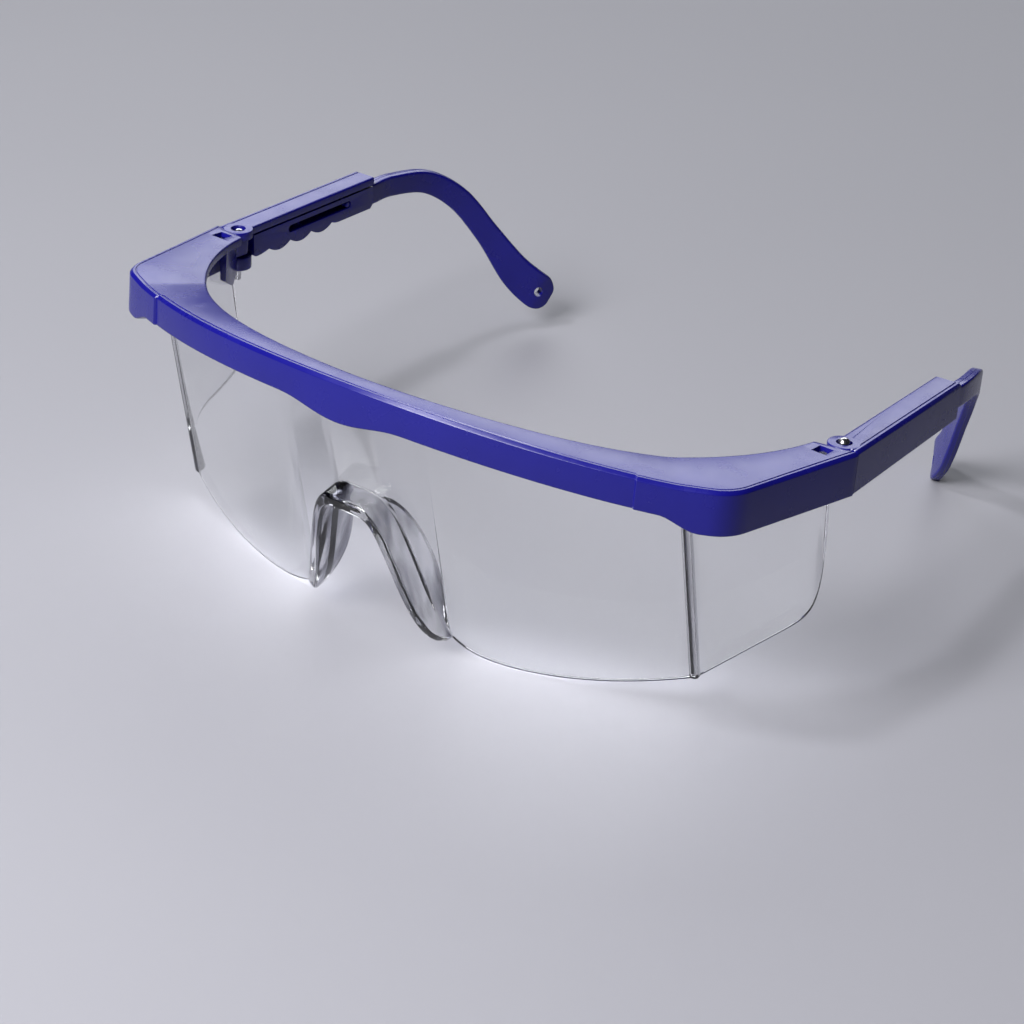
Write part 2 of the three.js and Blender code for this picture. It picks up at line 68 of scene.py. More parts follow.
GROOVE = {"inset": 1.05, "width": 0.3, "depth": 0.16, "slope": 0.08}
BROW_SOFT = 0.15

# Lens
LENS_THICK = 1.8
LENS_TOP = LEDGE_TOP - LEDGE_THICK - GAP
LENS_REF_Z = 46.5
LENS_FRONT_Y = -7.1
LENS_RADIUS = 110.0
LENS_CREASE_X = 60.15
LENS_RIB = 0.6  # how much thicker the sheet is along the middle of each crease
LENS_BEND = 0.9
LENS_LEAN = {"centre": 0.31, "crease": 0.277}
SHIELD_SPLAY = radians(22.3)
SHIELD_OUTWARD = Vector((cos(SHIELD_SPLAY), -sin(SHIELD_SPLAY), 0))
SHIELD_LENGTH = 30.5
EDGE = {"lowest": 0.6, "lowest_x": 22.0, "rise": 0.00446, "slope": 0.33, "corner": 32.0, "power": 17}
NOSE = {"height": 30.4, "half_width": 11.0, "power": 5}
SADDLE = {"half_span": 16.5, "front": 5.3, "back_apex": 0.8, "back_side": 4.6, "thick": 2.2,
          "sunk": 0.4, "corner": 0.75}
SNAP_PEG = {"share": 0.7, "inset": 0.1, "sunk": 1.0, "rise": 1.4}
# How far past each place its own material is laid, the bend's and the saddle's carrying painted shade;
# bend is a multiple of LENS_BEND.
PAINT = {"edge": 0.1, "front": 0.15, "back": 0.3, "bend": 1.25, "top": 0.5}

# Hinge, about the pin's axis
PIN = {"x": 71.1, "y": 43.3, "radius": 0.85, "head": 1.15, "length": 9.6, "foot": 0.25}
PIN_HEAD_RISE = {"left": -0.3, "right": -1.3}
PIN_HOLE = 1.15
HEAD_HOLE = 1.5
BLOCK_PLAN = [(74.0, 33.5), (74.0, 41.0), (69.3, 41.0), (65.4, 33.5)]  # x and y of the hinge block
BLOCK_PROFILE = [(33.0, 49.4), (33.0, 43.0), (38.5, 40.0), (39.6, 40.0), (41.0, 42.0), (41.0, 49.4)]
BLOCK_HEIGHTS = (37.0, 50.0)
SHIELD_SPACE = {"front": 8.0, "out": 8.0, "reach": 39.5, "bottom": 36.0}
BORE_CUT = (40.0, 52.0)
EYE_CUT = {"bottom": 38.0, "top": 53.0}
TAB = {"radius": 2.0, "front": -3.05, "bottom": 45.2, "top": LENS_TOP}
TOP_EYE_RADIUS = 3.0
LOW_EYE = {"radius": 2.7, "bottom": 42.0, "top": 44.8}
PARTING_Y = -2.0

# Temple housing
HOUSING_END = 40.8
HOUSING_OUTER = 3.9
HOUSING_INNER = -1.6
HOUSING_WALL = 1.6
HOUSING_DROP = {"front": 8.3, "rear": 7.2}
HOUSING_SOFT = 0.12
PEG = {"y": 32.3, "z": 46.4, "radius": 0.6}

# Temple arm
SLIDER = {"inner": -1.5, "outer": 1.9, "front": 3.05, "rear": 40.4, "top": 48.2, "corner": 0.8}
SLIDER_SOFT = 0.22
SCALLOP = {"count": 4, "first": 7.7, "pitch": 6.5, "cusp": 44.0, "depth": 1.1}
BLOCK_BOTTOM = 43.5
SLOT = {"front": 13.6, "rear": 33.2, "height": 1.6}
ARM_LINE = [
    (0.6, 38.6, 45.8), (0.85, 42.5, 45.7), (0.9, 49, 45.6), (-0.9, 59, 44), (-4.2, 66.6, 38.7),
    (-7.9, 72.5, 30), (-11.8, 77.8, 20.8), (-14.8, 82, 15.7), (-16.3, 85.6, 13.1),
]
ARM_THICK = {"root": 2.6, "tip": 2.1}
ARM_WIDTH = {"root": 4.6, "neck": 5.2, "tip": 8.2}
ARM_WIDENS = {"neck": (0.15, 0.5), "tip": (0.6, 0.95)}  # shares of the arm's length
ARM_CORNER = 0.75
ARM_TIP_SOFT = 0.8
ARM_STEPS = 400
MOULD_LINE = {"half": 0.08, "proud": 0.05}
TIP_HOLE = {"from_end": 4.1, "radius": 1.1}
CUT_REACH = 4.0  # how far a sideways cut reaches each way

# Setting, in metres and degrees
FLOOR = {"half": 4.0, "below": 0.00005}
NOISE_SPAN = (0.3, 0.7)  # where most values of a noise lie
CAMERA = {"azimuth": 36.52, "elevation": 28.85, "roll": 2.0, "distance": 0.5185,
          "target": (0.0193, -0.04267, 0.02468), "lens": 100.65, "sensor": 36.0, "clip": (0.01, 20)}


# ---------- small helpers ----------

def lerp(a, b, t):
    return a + (b - a) * t


def smooth(x, low, high):
    t = min(1.0, max(0.0, (x - low) / (high - low)))
    return t * t * (3 - 2 * t)


def bezier(a, b, c, count):
    """A quadratic curve from a to c, pulled towards b."""
    a, b, c = Vector(a), Vector(b), Vector(c)
    return [a * (1 - t) ** 2 + b * 2 * t * (1 - t) + c * t * t
            for t in (k / count for k in range(count + 1))]


def lengths_along(line):
    """The distance along the line to each of its points."""
    along = [0.0]
    for a, b in zip(line, line[1:]):
        along.append(along[-1] + (b - a).length)
    return along


def filleted(corners, cuts, steps=4):
    """A closed 2-D outline whose corners are rounded, each cut back by its own length."""
    out = []
    count = len(corners)
    for i, corner in enumerate(corners):
        here = Vector(corner)
        if not cuts[i]:
            out.append(here)
            continue
        before = Vector(corners[i - 1]) - here
        after = Vector(corners[(i + 1) % count]) - here
        start = here + before.normalized() * min(cuts[i], before.length * 0.45)
        end = here + after.normalized() * min(cuts[i], after.length * 0.45)
        for k in range(steps + 1):
            t = k / steps
            out.append(start * (1 - t) ** 2 + here * 2 * t * (1 - t) + end * t * t)
    return out


def solid(name, verts, faces, place):
    mesh = bpy.data.meshes.new(name)
    mesh.from_pydata([place @ Vector(v) for v in verts], [], faces)
    work = bmesh.new()
    work.from_mesh(mesh)
    bmesh.ops.remove_doubles(work, verts=work.verts, dist=1e-7)
    bmesh.ops.recalc_face_normals(work, faces=work.faces)
    work.to_mesh(mesh)
    work.free()
    obj = bpy.data.objects.new(name, mesh)
    bpy.context.scene.collection.objects.link(obj)
    return obj


def loft(name, rings, place):
    """A capped solid through rings that all have the same number of points."""
    count = len(rings[0])
    faces = []
    for r in range(len(rings) - 1):
        for i in range(count):
            j = (i + 1) % count
            faces.append((r * count + i, r * count + j, (r + 1) * count + j, (r + 1) * count + i))
    faces.append(tuple(range(count))[::-1])
    faces.append(tuple((len(rings) - 1) * count + i for i in range(count)))
    return solid(name, [p for ring in rings for p in ring], faces, place)


def block(name, low, high, place):
    """An upright box between two corners."""
    (x0, y0, z0), (x1, y1, z1) = low, high
    base = [(x0, y0), (x1, y0), (x1, y1), (x0, y1)]
    return loft(name, [[(x, y, z) for x, y in base] for z in (z0, z1)], place)


def post(name, x, y, radius, z0, z1, place, soft=0.0, segments=64):
    """An upright round post, its two rims rounded by soft."""
    rows = [(z0, radius - soft)]
    for k in range(1, 4 if soft else 1):
        rows.append((z0 + soft * (1 - cos(k * pi / 6)), radius - soft * (1 - sin(k * pi / 6))))
    rows += [(z0 + z1 - z, r) for z, r in reversed(rows)]
    rings = []
    for z, r in rows:
        turn = [2 * pi * i / segments for i in range(segments)]
        rings.append([(x + r * cos(a), y + r * sin(a), z) for a in turn])
    return loft(name, rings, place)


def prism(name, outline, x0, x1, place):
    """A (y, z) outline thickened along x."""
    return loft(name, [[(x, y, z) for y, z in outline] for x in (x0, x1)], place)


def baked(obj):
    """obj with its modifiers applied."""
    graph = bpy.context.evaluated_depsgraph_get()
    graph.update()
    mesh = bpy.data.meshes.new_from_object(obj.evaluated_get(graph))
    obj.modifiers.clear()
    obj.data = mesh
    return obj


def combine(obj, others, operation):
    """obj joined with, cut by or cut down to the others, which are used up."""
    for other in others:
        change = obj.modifiers.new("combine", "BOOLEAN")
        change.operation = operation
        change.solver = "MANIFOLD"
        change.object = other
        baked(obj)
        bpy.data.objects.remove(other)
    return obj


def softened(obj, width, angle=35):
    """Sharp edges rounded by width in millimetres, so that every edge catches the light."""
    bevel = obj.modifiers.new("soft", "BEVEL")
    bevel.width = width * 0.001
    bevel.segments = 3
    bevel.limit_method = "ANGLE"
    bevel.angle_limit = radians(angle)
    bevel.use_clamp_overlap = True
    bevel.harden_normals = False
    return baked(obj)


def finished(obj, name, body, node, material, angle=32):
    """Names and shades obj, keeps it above the floor, gives it its material and body, and hides the
    CAD part it stands in for.
    """
    for vertex in obj.data.vertices:
        vertex.co.z = max(vertex.co.z, 0.0)
    obj.name = name
    obj.data.name = name
    for face in obj.data.polygons:
        face.use_smooth = True
    obj.data.set_sharp_from_angle(angle=radians(angle))
    obj.data.materials.clear()
    obj.data.materials.append(material)
    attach(obj, body)
    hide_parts(node)
    return obj


# ---------- brow frame ----------

def brow_path():
    """Half of the brow's outer plan, from its middle to its rear end."""
    start, apex, end = BROW_CORNER
    line = bezier((0, BROW_FRONT_Y), (33, BROW_FRONT_Y), start, 120)
    line += bezier(start, apex, end, 60)[1:]
    return line + [Vector(end).lerp(Vector(BROW_REAR), k / 40) for k in range(1, 41)]


BROW_LINE = brow_path()
BROW_ALONG = lengths_along(BROW_LINE)


def brow_outer(share):
    goal = share * BROW_ALONG[-1]
    for i in range(1, len(BROW_ALONG)):
        if BROW_ALONG[i] >= goal:
            t = (goal - BROW_ALONG[i - 1]) / (BROW_ALONG[i] - BROW_ALONG[i - 1])
            return BROW_LINE[i - 1].lerp(BROW_LINE[i], t)
    return BROW_LINE[-1].copy()


def brow_inner(share):
    reach = (BROW_INNER["rear_y"] - BROW_INNER["front_y"]) / BROW_INNER["depth"]
    sweep = acos(1 - reach) * share ** BROW_INNER["power"]
    return Vector((BROW_INNER["half_width"] * sin(sweep),
                   BROW_INNER["front_y"] + BROW_INNER["depth"] * (1 - cos(sweep))))


def brow_rise(x):
    share = min(1.0, abs(x) / BROW_ARCH["half_span"])
    return BROW_ARCH["rise"] * cos(share * pi / 2) ** BROW_ARCH["power"]


def brow_drop(x):
    bulge = cos(min(1.0, x / WALL_DROP["centre_half"]) * pi / 2) ** 2
    corner = smooth(x, CORNER_STEP["drop_from"], CORNER_STEP["drop_to"])
    return (WALL_DROP["front"] + WALL_DROP["centre_extra"] * bulge
            + (WALL_DROP["side"] - WALL_DROP["front"]) * corner)


def angle_profile(width, drop, wall):
    """A ledge with a wall hanging from its outer edge, as (inset, height below the top)."""
    groove, slope = GROOVE["inset"], GROOVE["slope"]
    corners = [
        (0, -drop), (0, -BROW_CHAMFER), (BROW_CHAMFER, 0),
        (groove, 0), (groove + slope, -GROOVE["depth"]),
        (groove + GROOVE["width"] - slope, -GROOVE["depth"]), (groove + GROOVE["width"], 0),
        (width, 0), (width, -LEDGE_THICK), (wall, -LEDGE_THICK), (wall, -drop),
    ]
    cuts = [0.35, 0.12, 0.12, 0.06, 0.05, 0.05, 0.06, 0.55, 0.4, 0.5, 0.35]
    return filleted(corners, cuts)


def brow_ring(share):
    side = 1 if share >= 0 else -1
    outer = brow_outer(abs(share))
    inner = brow_inner(abs(share))
    half_sharp = CORNER_STEP["sharp"] / 2
    proud = CORNER_STEP["proud"] * smooth(outer.x, CORNER_STEP["x"] - half_sharp,
                                          CORNER_STEP["x"] + half_sharp)
    outer += (outer - inner).normalized() * proud
    across = (inner - outer).normalized()
    top = LEDGE_TOP + brow_rise(outer.x)
    ring = []
    for inset, height in angle_profile((inner - outer).length, brow_drop(outer.x), BROW_WALL):
        point = outer + across * inset
        ring.append((side * point.x, point.y, top + height))
    return ring


def brow_shares():
    steps = 110
    half = [k / steps for k in range(1, steps + 1)]
    at_step = min(half, key=lambda s: abs(brow_outer(s).x - CORNER_STEP["x"]))
    fine = [at_step + k * 0.0006 for k in range(-6, 7)]
    half = sorted(set(half + fine))
    return [-s for s in reversed(half)] + [0.0] + half


def shield_space(name, rear, low, high):
    """The room cut from the hinge block for the side shield, between two heights."""
    inward = -(LENS_THICK + GAP)
    front, out = SHIELD_SPACE["front"], SHIELD_SPACE["out"]
    corners = [(front, out), (rear, out), (rear, inward), (front, inward)]
    rings = []
    for z in (low, high):
        rings.append([shield_point(d, z) + SHIELD_OUTWARD * o for d, o in corners])
    return loft(name, rings, STANCE)


def hinge_block():
    body = prism("hinge_block", filleted(BLOCK_PROFILE, [0, 1.2, 0.8, 0.4, 0.4, 0]),
                 BLOCK_PLAN[3][0] - 1, BLOCK_PLAN[0][0] + 1, STANCE)
    plan = loft("plan", [[(x, y, z) for x, y in BLOCK_PLAN] for z in BLOCK_HEIGHTS], STANCE)
    combine(body, [plan], "INTERSECT")
    upper = shield_space("upper", SHIELD_LENGTH + GAP, TAB["bottom"] - GAP - SLIVER,
                         LEDGE_TOP - LEDGE_THICK + SLIVER)
    lower = shield_space("lower", SHIELD_SPACE["reach"], SHIELD_SPACE["bottom"], TAB["bottom"] - GAP)
    combine(body, [upper, lower], "DIFFERENCE")
    x, y, r = PIN["x"], PIN["y"], TAB["radius"]
    neck = block("neck", (x - r, y + TAB["front"], TAB["bottom"]), (x + r, y, TAB["top"]), STANCE)
    eye = post("eye", x, y, r, TAB["bottom"], TAB["top"], STANCE)
    return combine(body, [neck, eye], "UNION")


def mirrored(obj):
    """A copy of obj on the other side, in the row frame."""
    twin = obj.copy()
    twin.data = obj.data.copy()
    twin.data.transform(Matrix.Scale(-1, 4, (1, 0, 0)))
    twin.data.flip_normals()
    bpy.context.scene.collection.objects.link(twin)
    return twin


def with_twins(objs):
    return objs + [mirrored(o) for o in objs]


def brow_frame():
    shell = loft("brow_frame_shell", [brow_ring(s) for s in brow_shares()], STANCE)
    combine(shell, with_twins([hinge_block()]), "UNION")
    x, y, half = SNAP_HOLE["x"], SNAP_HOLE["y"], SNAP_HOLE["size"] / 2
    cuts = [
        block("snap", (x - half, y - half, SNAP_HOLE["bottom"]),
              (x + half, y + half, SNAP_HOLE["top"]), STANCE),
        post("bore", PIN["x"], PIN["y"], PIN_HOLE, *BORE_CUT, STANCE),
        post("top_eye", PIN["x"], PIN["y"], TOP_EYE_RADIUS + GAP,
             TAB["top"] - SLIVER, EYE_CUT["top"], STANCE),
        post("low_eye", PIN["x"], PIN["y"], LOW_EYE["radius"] + GAP,
             EYE_CUT["bottom"], TAB["bottom"] + SLIVER, STANCE),
    ]
    combine(shell, with_twins(cuts), "DIFFERENCE")
    return softened(shell, BROW_SOFT, angle=50)


# ---------- lens ----------

def lens_lean(x):
    return lerp(LENS_LEAN["centre"], LENS_LEAN["crease"], min(1.0, abs(x) / LENS_CREASE_X))


def lens_point(x, z):
    y = LENS_FRONT_Y + LENS_RADIUS - sqrt(LENS_RADIUS ** 2 - x ** 2)
    return Vector((x, y + lens_lean(x) * (LENS_REF_Z - z), z))


def shield_point(distance, z):
    return lens_point(LENS_CREASE_X, z) + Vector((sin(SHIELD_SPLAY), cos(SHIELD_SPLAY), 0)) * distance


def front_edge(x):
    reach = max(0.0, abs(x) - EDGE["lowest_x"])
    nose = NOSE["height"] / (1 + (abs(x) / NOSE["half_width"]) ** NOSE["power"])
    return EDGE["lowest"] + EDGE["rise"] * reach ** 2 + nose


def shield_edge(distance):
    corner = EDGE["corner"] * (distance / SHIELD_LENGTH) ** EDGE["power"]
    return min(LENS_TOP - 1, front_edge(LENS_CREASE_X) + EDGE["slope"] * distance + corner)


def front_normal(x):
    slope = x / sqrt(LENS_RADIUS ** 2 - x ** 2)
    return Vector((slope, -1, -lens_lean(x))).normalized()


def shield_normal():
    lean = -LENS_LEAN["crease"] * sin(SHIELD_SPLAY)
    return Vector((SHIELD_OUTWARD.x, SHIELD_OUTWARD.y, lean)).normalized()


def sheet_ring(point_at, low, normal, share=1.0):
    """One upright strip of the lens with a rounded lower edge. share scales its thickness."""
    half = LENS_THICK / 2
    level = Vector((normal.x, normal.y, 0)).normalized()
    top = point_at(LENS_TOP) - level * half
    bottom = point_at(low) - normal * half
    down = (bottom - top).normalized()
    bottom -= down * half * 0.6
    ring = [top + level * half * share]
    for k in range(9):
        turn = pi * k / 8
        ring.append(bottom + normal * (half * share * cos(turn)) + down * (half * 0.6 * sin(turn)))
    ring.append(top - level * half * share)
    return ring


def front_ring(x):
    return sheet_ring(lambda z: lens_point(x, z), front_edge(x), front_normal(x))


def lens_rings():
    """Strips across the whole lens: fine over the nose, then the front, the crease, the shield."""
    half = [front_ring(k * 0.5) for k in range(1, 41)]
    last = LENS_CREASE_X - LENS_BEND
    half += [front_ring(lerp(20, last, k / 24)) for k in range(1, 25)]
    for k in range(1, 16):
        t = k / 16

        def bend(z, t=t):
            return (lens_point(last, z) * (1 - t) ** 2 + shield_point(0, z) * 2 * t * (1 - t)
                    + shield_point(LENS_BEND, z) * t * t)
        low = lerp(front_edge(last), shield_edge(LENS_BEND), t)
        half.append(sheet_ring(bend, low, front_normal(last).slerp(shield_normal(), t),
                               1 + LENS_RIB * sin(pi * t)))
    for k in range(0, 41):
        distance = lerp(LENS_BEND, SHIELD_LENGTH, 1 - (1 - k / 40) ** 1.8)
        rear = max(0.0, (distance - SHIELD_LENGTH + LENS_THICK / 2) / (LENS_THICK / 2))
        half.append(sheet_ring(lambda z, d=distance: shield_point(d, z), shield_edge(distance),
                               shield_normal(), sqrt(max(0.02, 1 - rear ** 2))))
    other = [[Vector((-p.x, p.y, p.z)) for p in ring] for ring in reversed(half)]
    return other + [front_ring(0)] + half


def saddle_rings():
    """Sections of the nose saddle, square to the arch of the lens's lower edge."""
    steps, fine = 64, 200
    arch = [Vector((x, front_edge(x)))
            for x in (SADDLE["half_span"] * i / fine for i in range(-fine, fine + 1))]
    along = lengths_along(arch)
    rings = []
    for k in range(steps + 1):
        goal = along[-1] * k / steps
        i = max(1, next(i for i, d in enumerate(along) if d >= goal - 1e-9))
        here = arch[i - 1].lerp(arch[i], (goal - along[i - 1]) / (along[i] - along[i - 1]))
        tangent = (arch[min(i + 1, 2 * fine)] - arch[max(i - 2, 0)]).normalized()
        down = Vector((tangent.y, 0, -tangent.x))
        share = min(1.0, abs(here.x) / SADDLE["half_span"])
        fade = sqrt(max(0.0, 1 - share ** 6))
        forward = max(LENS_THICK / 2, SADDLE["front"] * fade)
        flare = SADDLE["back_side"] * sin(pi * share ** 1.6) ** 2
        backward = max(LENS_THICK / 2, SADDLE["back_apex"] * fade + flare)
        normal = Vector((0, -1, -lens_lean(here.x))).normalized()
        centre = lens_point(here.x, here.y) - normal * LENS_THICK / 2
        low, high = -SADDLE["sunk"], SADDLE["thick"] - SADDLE["sunk"]
        section = filleted([(forward, low), (forward, high), (-backward, high), (-backward, low)],
                           [SADDLE["corner"]] * 4, steps=5)
        rings.append([centre + normal * a + down * b for a, b in section])
    return rings


def snap_peg():
    length = SNAP_HOLE["size"] * SNAP_PEG["share"]
    middle = SNAP_HOLE["y"] + LENS_THICK / 2 * SHIELD_OUTWARD.y
    start = (middle - shield_point(0, LENS_TOP).y) / cos(SHIELD_SPLAY) - length / 2
    rings = []
    for distance in (start, start + length):
        outer = shield_point(distance, LENS_TOP) - SHIELD_OUTWARD * SNAP_PEG["inset"]
        inner = outer + SHIELD_OUTWARD * (2 * SNAP_PEG["inset"] - LENS_THICK)
        sunk, rise = Vector((0, 0, -SNAP_PEG["sunk"])), Vector((0, 0, SNAP_PEG["rise"]))
        rings.append([outer + sunk, outer + rise, inner + rise, inner + sunk])
    return loft("snap_peg", rings, STANCE)


def lens():
    sheet = loft("lens_sheet", lens_rings(), STANCE)
    saddle = loft("saddle", saddle_rings(), STANCE)
    return combine(sheet, [saddle] + with_twins([snap_peg()]), "UNION")


# ---------- hinge pin ----------

def hinge_pin(side, place):
    head_z = LEDGE_TOP + PIN_HEAD_RISE[side]
    head, radius, foot = PIN["head"], PIN["radius"], PIN["foot"]
    neck = asin(radius / head)
    low = head_z - PIN["length"]
    profile = [(0.0, low), (radius - foot, low), (radius - 0.07, low + 0.08), (radius, low + foot)]
    for k in range(20):
        turn = lerp(neck, pi, k / 20)
        profile.append((head * sin(turn), head_z - head * cos(turn)))
    profile.append((0.0, head_z + head))
    segments = 48
    rings = [[(r * cos(2 * pi * i / segments), r * sin(2 * pi * i / segments), z)
              for i in range(segments)] for r, z in profile]
    return loft("pin", rings, place)


# ---------- temple housing, about the pin ----------

def housing_ring(y, inner_x, soft=0.0):
    share = (y - PARTING_Y) / (HOUSING_END - PARTING_Y)
    drop = lerp(HOUSING_DROP["front"], HOUSING_DROP["rear"], share) - soft
    ring = []
    for inset, height in angle_profile(HOUSING_OUTER - inner_x - soft, drop, HOUSING_WALL):
        ring.append((HOUSING_OUTER - max(soft, inset), y, LEDGE_TOP + min(height, -soft)))
    return ring


def temple_housing(place):
    shell = loft("housing", [
        housing_ring(PARTING_Y, 1.0, 0.15), housing_ring(PARTING_Y + 0.15, 0.8),
        housing_ring(0, HOUSING_INNER), housing_ring(HOUSING_END * 0.5, HOUSING_INNER),
        housing_ring(HOUSING_END - 0.25, HOUSING_INNER), housing_ring(HOUSING_END, HOUSING_INNER, 0.2),
    ], place)
    wall_inner = HOUSING_OUTER - HOUSING_WALL
    top_eye = post("top_eye", 0, 0, TOP_EYE_RADIUS, LEDGE_TOP - LEDGE_THICK, LEDGE_TOP, place, 0.2)
    low_eye = post("low_eye", 0, 0, LOW_EYE["radius"], LOW_EYE["bottom"], LOW_EYE["top"], place, 0.25)
    web = block("web", (0, -1, LOW_EYE["bottom"] + 0.1),
                (wall_inner + 0.2, LOW_EYE["radius"], LOW_EYE["top"] - 0.1), place)
    turns = [2 * pi * i / 32 for i in range(32)]
    peg = loft("peg", [
        [(x, PEG["y"] + PEG["radius"] * r * cos(a), PEG["z"] + PEG["radius"] * r * sin(a))
         for a in turns]
        for x, r in ((wall_inner + 0.3, 1), (SLIDER["inner"] + 0.15, 1), (SLIDER["inner"], 0.75))
    ], place)
    combine(shell, [top_eye, low_eye, web, peg], "UNION")
    head = post("head", 0, 0, HEAD_HOLE, LEDGE_TOP - LEDGE_THICK - 1, LEDGE_TOP + 1, place)
    bore = post("bore", 0, 0, PIN_HOLE, LOW_EYE["bottom"] - 1, LOW_EYE["top"] + 1, place)
    combine(shell, [head, bore], "DIFFERENCE")
    return softened(shell, HOUSING_SOFT, angle=50)


# ---------- temple arm, about the pin ----------

def slider_outline():
    cusp, depth = SCALLOP["cusp"], SCALLOP["depth"]
    outline = [Vector((SLIDER["front"], SLIDER["top"]))]
    ends = [SLIDER["front"]] + [SCALLOP["first"] + SCALLOP["pitch"] * i
                                for i in range(SCALLOP["count"])]
    for a, b in zip(ends, ends[1:]):
        control = (a + 0.3, cusp - depth) if a == SLIDER["front"] else ((a + b) / 2, cusp - 2 * depth)
        outline += bezier((a, cusp), control, (b, cusp), 12)[:-1]
    last = ends[-1]
    outline += bezier((last, cusp), (last + 1, BLOCK_BOTTOM), (last + 2.5, BLOCK_BOTTOM), 6)
    rear, corner = SLIDER["rear"], SLIDER["corner"]
    return outline + [Vector((rear - corner, BLOCK_BOTTOM)), Vector((rear, BLOCK_BOTTOM + corner)),
                      Vector((rear, SLIDER["top"]))]


def slot_outline():
    half = SLOT["height"] / 2
    outline = []
    for centre, start in ((SLOT["rear"] - half, -pi / 2), (SLOT["front"] + half, pi / 2)):
        for k in range(13):
            turn = start + pi * k / 12
            outline.append((centre + half * cos(turn), PEG["z"] + half * sin(turn)))
    return outline


def catmull_point(points, t):
    """A smooth curve through the points, with t from 0 to 1 over all of them."""
    spans = len(points) - 1
    i = min(spans - 1, int(t * spans))
    u = t * spans - i
    p1, p2 = Vector(points[i]), Vector(points[i + 1])
    p0 = Vector(points[i - 1]) if i else p1 * 2 - p2
    p3 = Vector(points[i + 2]) if i + 2 <= spans else p2 * 2 - p1
    return ((p1 * 2) + (p2 - p0) * u + (p0 * 2 - p1 * 5 + p2 * 4 - p3) * u ** 2
            + (p1 * 3 - p0 - p2 * 3 + p3) * u ** 3) / 2


ARM_POINTS = [catmull_point(ARM_LINE, k / ARM_STEPS) for k in range(ARM_STEPS + 1)]
ARM_ALONG = lengths_along(ARM_POINTS)


def arm_frame(share):
    """The arm's point, direction, thickness and width at a share of its length."""
    goal = share * ARM_ALONG[-1]
    i = max(1, next((i for i, d in enumerate(ARM_ALONG) if d >= goal - 1e-9), len(ARM_ALONG) - 1))
    before, after = ARM_ALONG[i - 1], ARM_ALONG[i]
    here = ARM_POINTS[i - 1].lerp(ARM_POINTS[i], (goal - before) / (after - before))
    tangent = (ARM_POINTS[min(i + 3, ARM_STEPS)] - ARM_POINTS[max(i - 4, 0)]).normalized()
    thick = Vector((tangent.y, -tangent.x, 0)).normalized()
    return here, tangent, thick, thick.cross(tangent).normalized()


def arm_section(width, depth):
    """A soft-edged flat strip with the mould's fine parting line along both edges."""
    w, t = width / 2, depth / 2
    cut = min(ARM_CORNER, w * 0.8)
    line = MOULD_LINE["half"]
    ridge = MOULD_LINE["proud"] if w > 1 else 0.0
    return filleted([(w, t), (w, line), (w + ridge, 0), (w, -line), (w, -t),
                     (-w, -t), (-w, -line), (-w - ridge, 0), (-w, line), (-w, t)],
                    [cut, 0, 0, 0, cut, cut, 0, 0, 0, cut], steps=5)


def arm_strip(place):
    length = ARM_ALONG[-1]
    end = ARM_WIDTH["tip"] / 2
    shares = [(1 - end / length) * k / 110 for k in range(111)]
    shares += [1 - (1 - sin(k / 22 * pi / 2 * 0.985)) * end / length for k in range(1, 23)]
    rings = []
    for share in shares:
        here, _, thick, wide = arm_frame(share)
        to_end = (1 - share) * length
        round_off = sqrt(1 - ((end - to_end) / end) ** 2) if to_end < end else 1.0
        width = lerp(ARM_WIDTH["root"], ARM_WIDTH["neck"], smooth(share, *ARM_WIDENS["neck"]))
        width += (ARM_WIDTH["tip"] - ARM_WIDTH["neck"]) * smooth(share, *ARM_WIDENS["tip"])
        depth = lerp(ARM_THICK["root"], ARM_THICK["tip"], share)
        if to_end < ARM_TIP_SOFT:
            depth *= sqrt(max(0.05, 1 - (1 - to_end / ARM_TIP_SOFT) ** 2))
        rings.append([here + wide * a + thick * b for a, b in arm_section(width * round_off, depth)])
    return loft("arm_strip", rings, place)


def tip_hole(place):
    here, _, thick, wide = arm_frame(1 - TIP_HOLE["from_end"] / ARM_ALONG[-1])
    other = thick.cross(wide)
    r = TIP_HOLE["radius"]
    rings = []
    for reach in (-CUT_REACH, CUT_REACH):
        rings.append([here + thick * reach + wide * (r * cos(a)) + other * (r * sin(a))
                      for a in (2 * pi * i / 40 for i in range(40))])
    return loft("tip_hole", rings, place)


def temple_arm(place):
    slider = prism("slider", slider_outline(), SLIDER["inner"], SLIDER["outer"], place)
    combine(slider, [prism("slot", slot_outline(), -CUT_REACH, CUT_REACH, place)], "DIFFERENCE")
    softened(slider, SLIDER_SOFT, angle=50)
    combine(slider, [arm_strip(place)], "UNION")
    combine(slider, [tip_hole(place)], "DIFFERENCE")
    return slider


# ---------- materials ----------

def node_material(name, **sockets):
    """A Principled material with its flat numbers on the shader's own sockets."""
    material = bpy.data.materials.new(name)
    material.use_nodes = True
    shader = material.node_tree.nodes["Principled BSDF"]
    for key, value in sockets.items():
        shader.inputs[key.replace("_", " ")].default_value = value
    return material, material.node_tree, shader


def add(tree, kind, **values):
    """A new node; each value sets its property or its socket of that name."""
    node = tree.nodes.new(kind)
    for key, value in values.items():
        if hasattr(node, key):
            setattr(node, key, value)
        else:
            node.inputs[key.replace("_", " ")].default_value = value
    return node


def noise(tree, scale, detail=3.0, roughness=0.5, stretch=(1, 1, 1)):
    """Noise over the row frame, where scale counts features in a metre."""
    where = add(tree, "ShaderNodeTexCoord")
    mapping = add(tree, "ShaderNodeMapping")
    mapping.inputs["Scale"].default_value = stretch
    texture = add(tree, "ShaderNodeTexNoise", Scale=scale, Detail=detail, Roughness=roughness)
    tree.links.new(where.outputs["Object"], mapping.inputs["Vector"])
    tree.links.new(mapping.outputs["Vector"], texture.inputs["Vector"])
    return texture.outputs["Fac"]


